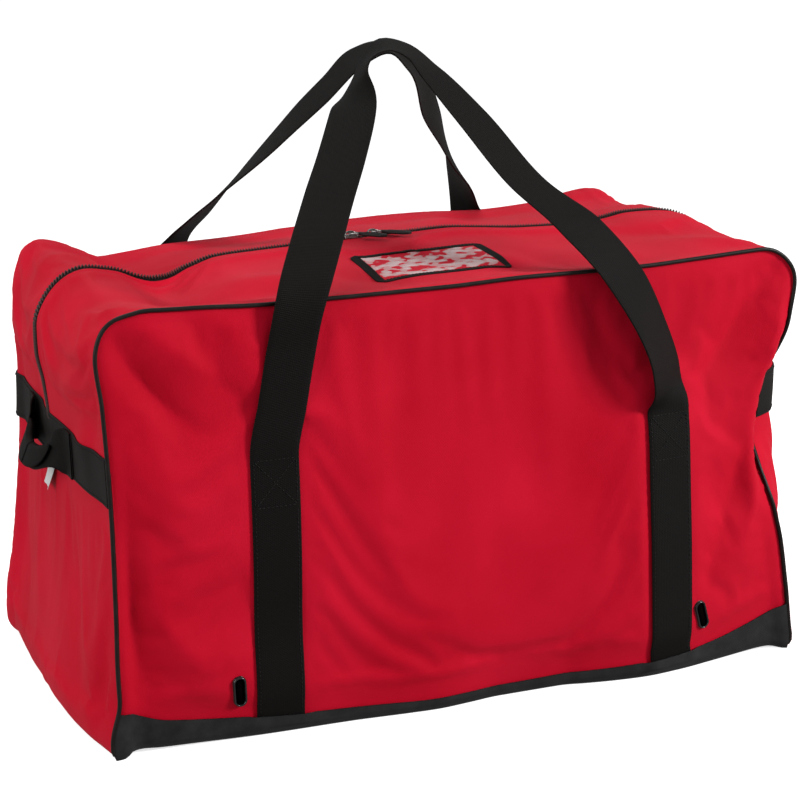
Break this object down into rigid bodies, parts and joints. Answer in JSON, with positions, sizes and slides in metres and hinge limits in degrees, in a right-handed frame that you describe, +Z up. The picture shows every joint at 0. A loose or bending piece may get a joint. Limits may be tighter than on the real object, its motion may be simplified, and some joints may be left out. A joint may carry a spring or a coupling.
{
  "type": "hockey equipment bag",
  "caption": "Soft zipped duffel for hockey equipment, with webbing carry handles held up together, grab handles at the ends, piped seams, a tarpaulin base and a name-card window.",
  "frame": {"origin": "middle of the underside, on the surface the bag stands on", "axes": "+X along the bag to the right end, +Y from the front panel to the rear panel, +Z up"},
  "size_m": [0.8626, 0.5109, 0.6771],
  "materials": {
    "red_fabric": "woven polyester, plain weave, low sheen",
    "tarpaulin": "coated tarpaulin, fine grain",
    "webbing": "ribbed polypropylene webbing",
    "piping": "smooth vinyl piping cord",
    "binding": "binding tape",
    "coil": "nylon coil on woven tape",
    "slider_metal": "gunmetal",
    "pull_rubber": "ribbed moulded tab",
    "vent_plastic": "glossy black",
    "clear_film": "clear crinkled vinyl",
    "label_cloth": "white satin tape"
  },
  "bodies": {
    "bag": {"bottom_panel": "tarpaulin", "front_panel": "red_fabric", "rear_panel": "red_fabric", "left_end_panel": "red_fabric", "right_end_panel": "red_fabric", "left_front_gusset": "red_fabric", "right_front_gusset": "red_fabric", "left_rear_gusset": "red_fabric", "right_rear_gusset": "red_fabric", "front_piping": "piping", "rear_piping": "piping", "front_binding": "binding", "rear_binding": "binding", "left_zip_chain": "coil", "right_zip_chain": "coil", "vent_eyelets": "vent_plastic", "vent_washers": "vent_plastic", "front_left_strap": "webbing", "front_right_strap": "webbing", "rear_left_strap": "webbing", "rear_right_strap": "webbing", "left_end_band": "webbing", "right_end_band": "webbing", "left_grab_anchors": "webbing", "right_grab_anchors": "webbing", "care_label": "label_cloth"},
    "front_flap": {"front_flap": "red_fabric", "front_zip_chain": "coil", "window_film": "clear_film", "window_frame": "webbing"},
    "rear_flap": {"rear_flap": "red_fabric", "rear_zip_chain": "coil"},
    "left_slider": {"left_slider": "slider_metal"},
    "right_slider": {"right_slider": "slider_metal"},
    "left_pull": {"left_pull_link": "slider_metal", "left_pull_tab": "pull_rubber"},
    "right_pull": {"right_pull_link": "slider_metal", "right_pull_tab": "pull_rubber"},
    "front_handle": {"front_handle": "webbing"},
    "rear_handle": {"rear_handle": "webbing"},
    "left_grab": {"left_grab": "webbing", "left_grab_ends": "webbing"},
    "right_grab": {"right_grab": "webbing", "right_grab_ends": "webbing"}
  },
  "joints": [
    {"name": "front_flap_hinge", "type": "hinge", "parent": "bag", "child": "front_flap", "pos_m": [0, -0.22775, 0.45625], "axis": [1, 0, 0], "range_deg": [0, 30], "deforming": ["front_zip_chain"]},
    {"name": "rear_flap_hinge", "type": "hinge", "parent": "bag", "child": "rear_flap", "pos_m": [0, 0.22775, 0.45625], "axis": [-1, 0, 0], "range_deg": [0, 30], "deforming": ["rear_zip_chain"]},
    {"name": "left_slider_run", "type": "slide", "parent": "bag", "child": "left_slider", "axis": [-1, 0, 0], "range_m": [0, 0.24]},
    {"name": "right_slider_run", "type": "slide", "parent": "bag", "child": "right_slider", "axis": [1, 0, 0], "range_m": [0, 0.31]},
    {"name": "left_pull_swing", "type": "hinge", "parent": "left_slider", "child": "left_pull", "pos_m": [-0.048, 0, 0.4617], "axis": [-0.766, -0.6428, 0], "range_deg": [0, 150]},
    {"name": "right_pull_swing", "type": "hinge", "parent": "right_slider", "child": "right_pull", "pos_m": [-0.022, 0, 0.4617], "axis": [-0.682, -0.7314, 0], "range_deg": [0, 150]},
    {"name": "front_handle_swing", "type": "hinge", "parent": "bag", "child": "front_handle", "pos_m": [0, -0.2325, 0.296], "axis": [1, 0, 0], "range_deg": [0, 150]},
    {"name": "rear_handle_swing", "type": "hinge", "parent": "bag", "child": "rear_handle", "pos_m": [0, 0.2325, 0.296], "axis": [-1, 0, 0], "range_deg": [0, 150]},
    {"name": "left_grab_swing", "type": "hinge", "parent": "bag", "child": "left_grab", "pos_m": [-0.3846, 0, 0.2855], "axis": [0, 1, 0], "range_deg": [0, 80], "deforming": ["left_grab_ends"]},
    {"name": "right_grab_swing", "type": "hinge", "parent": "bag", "child": "right_grab", "pos_m": [0.3846, 0, 0.2855], "axis": [0, -1, 0], "range_deg": [0, 80], "deforming": ["right_grab_ends"]}
  ],
  "couplings": [
    {"joint": "rear_flap_hinge", "follows": "front_flap_hinge", "ratio": 1},
    {"joint": "left_slider_run", "follows": "front_flap_hinge", "m_per_rad": 0.458},
    {"joint": "right_slider_run", "follows": "front_flap_hinge", "m_per_rad": 0.592}
  ]
}
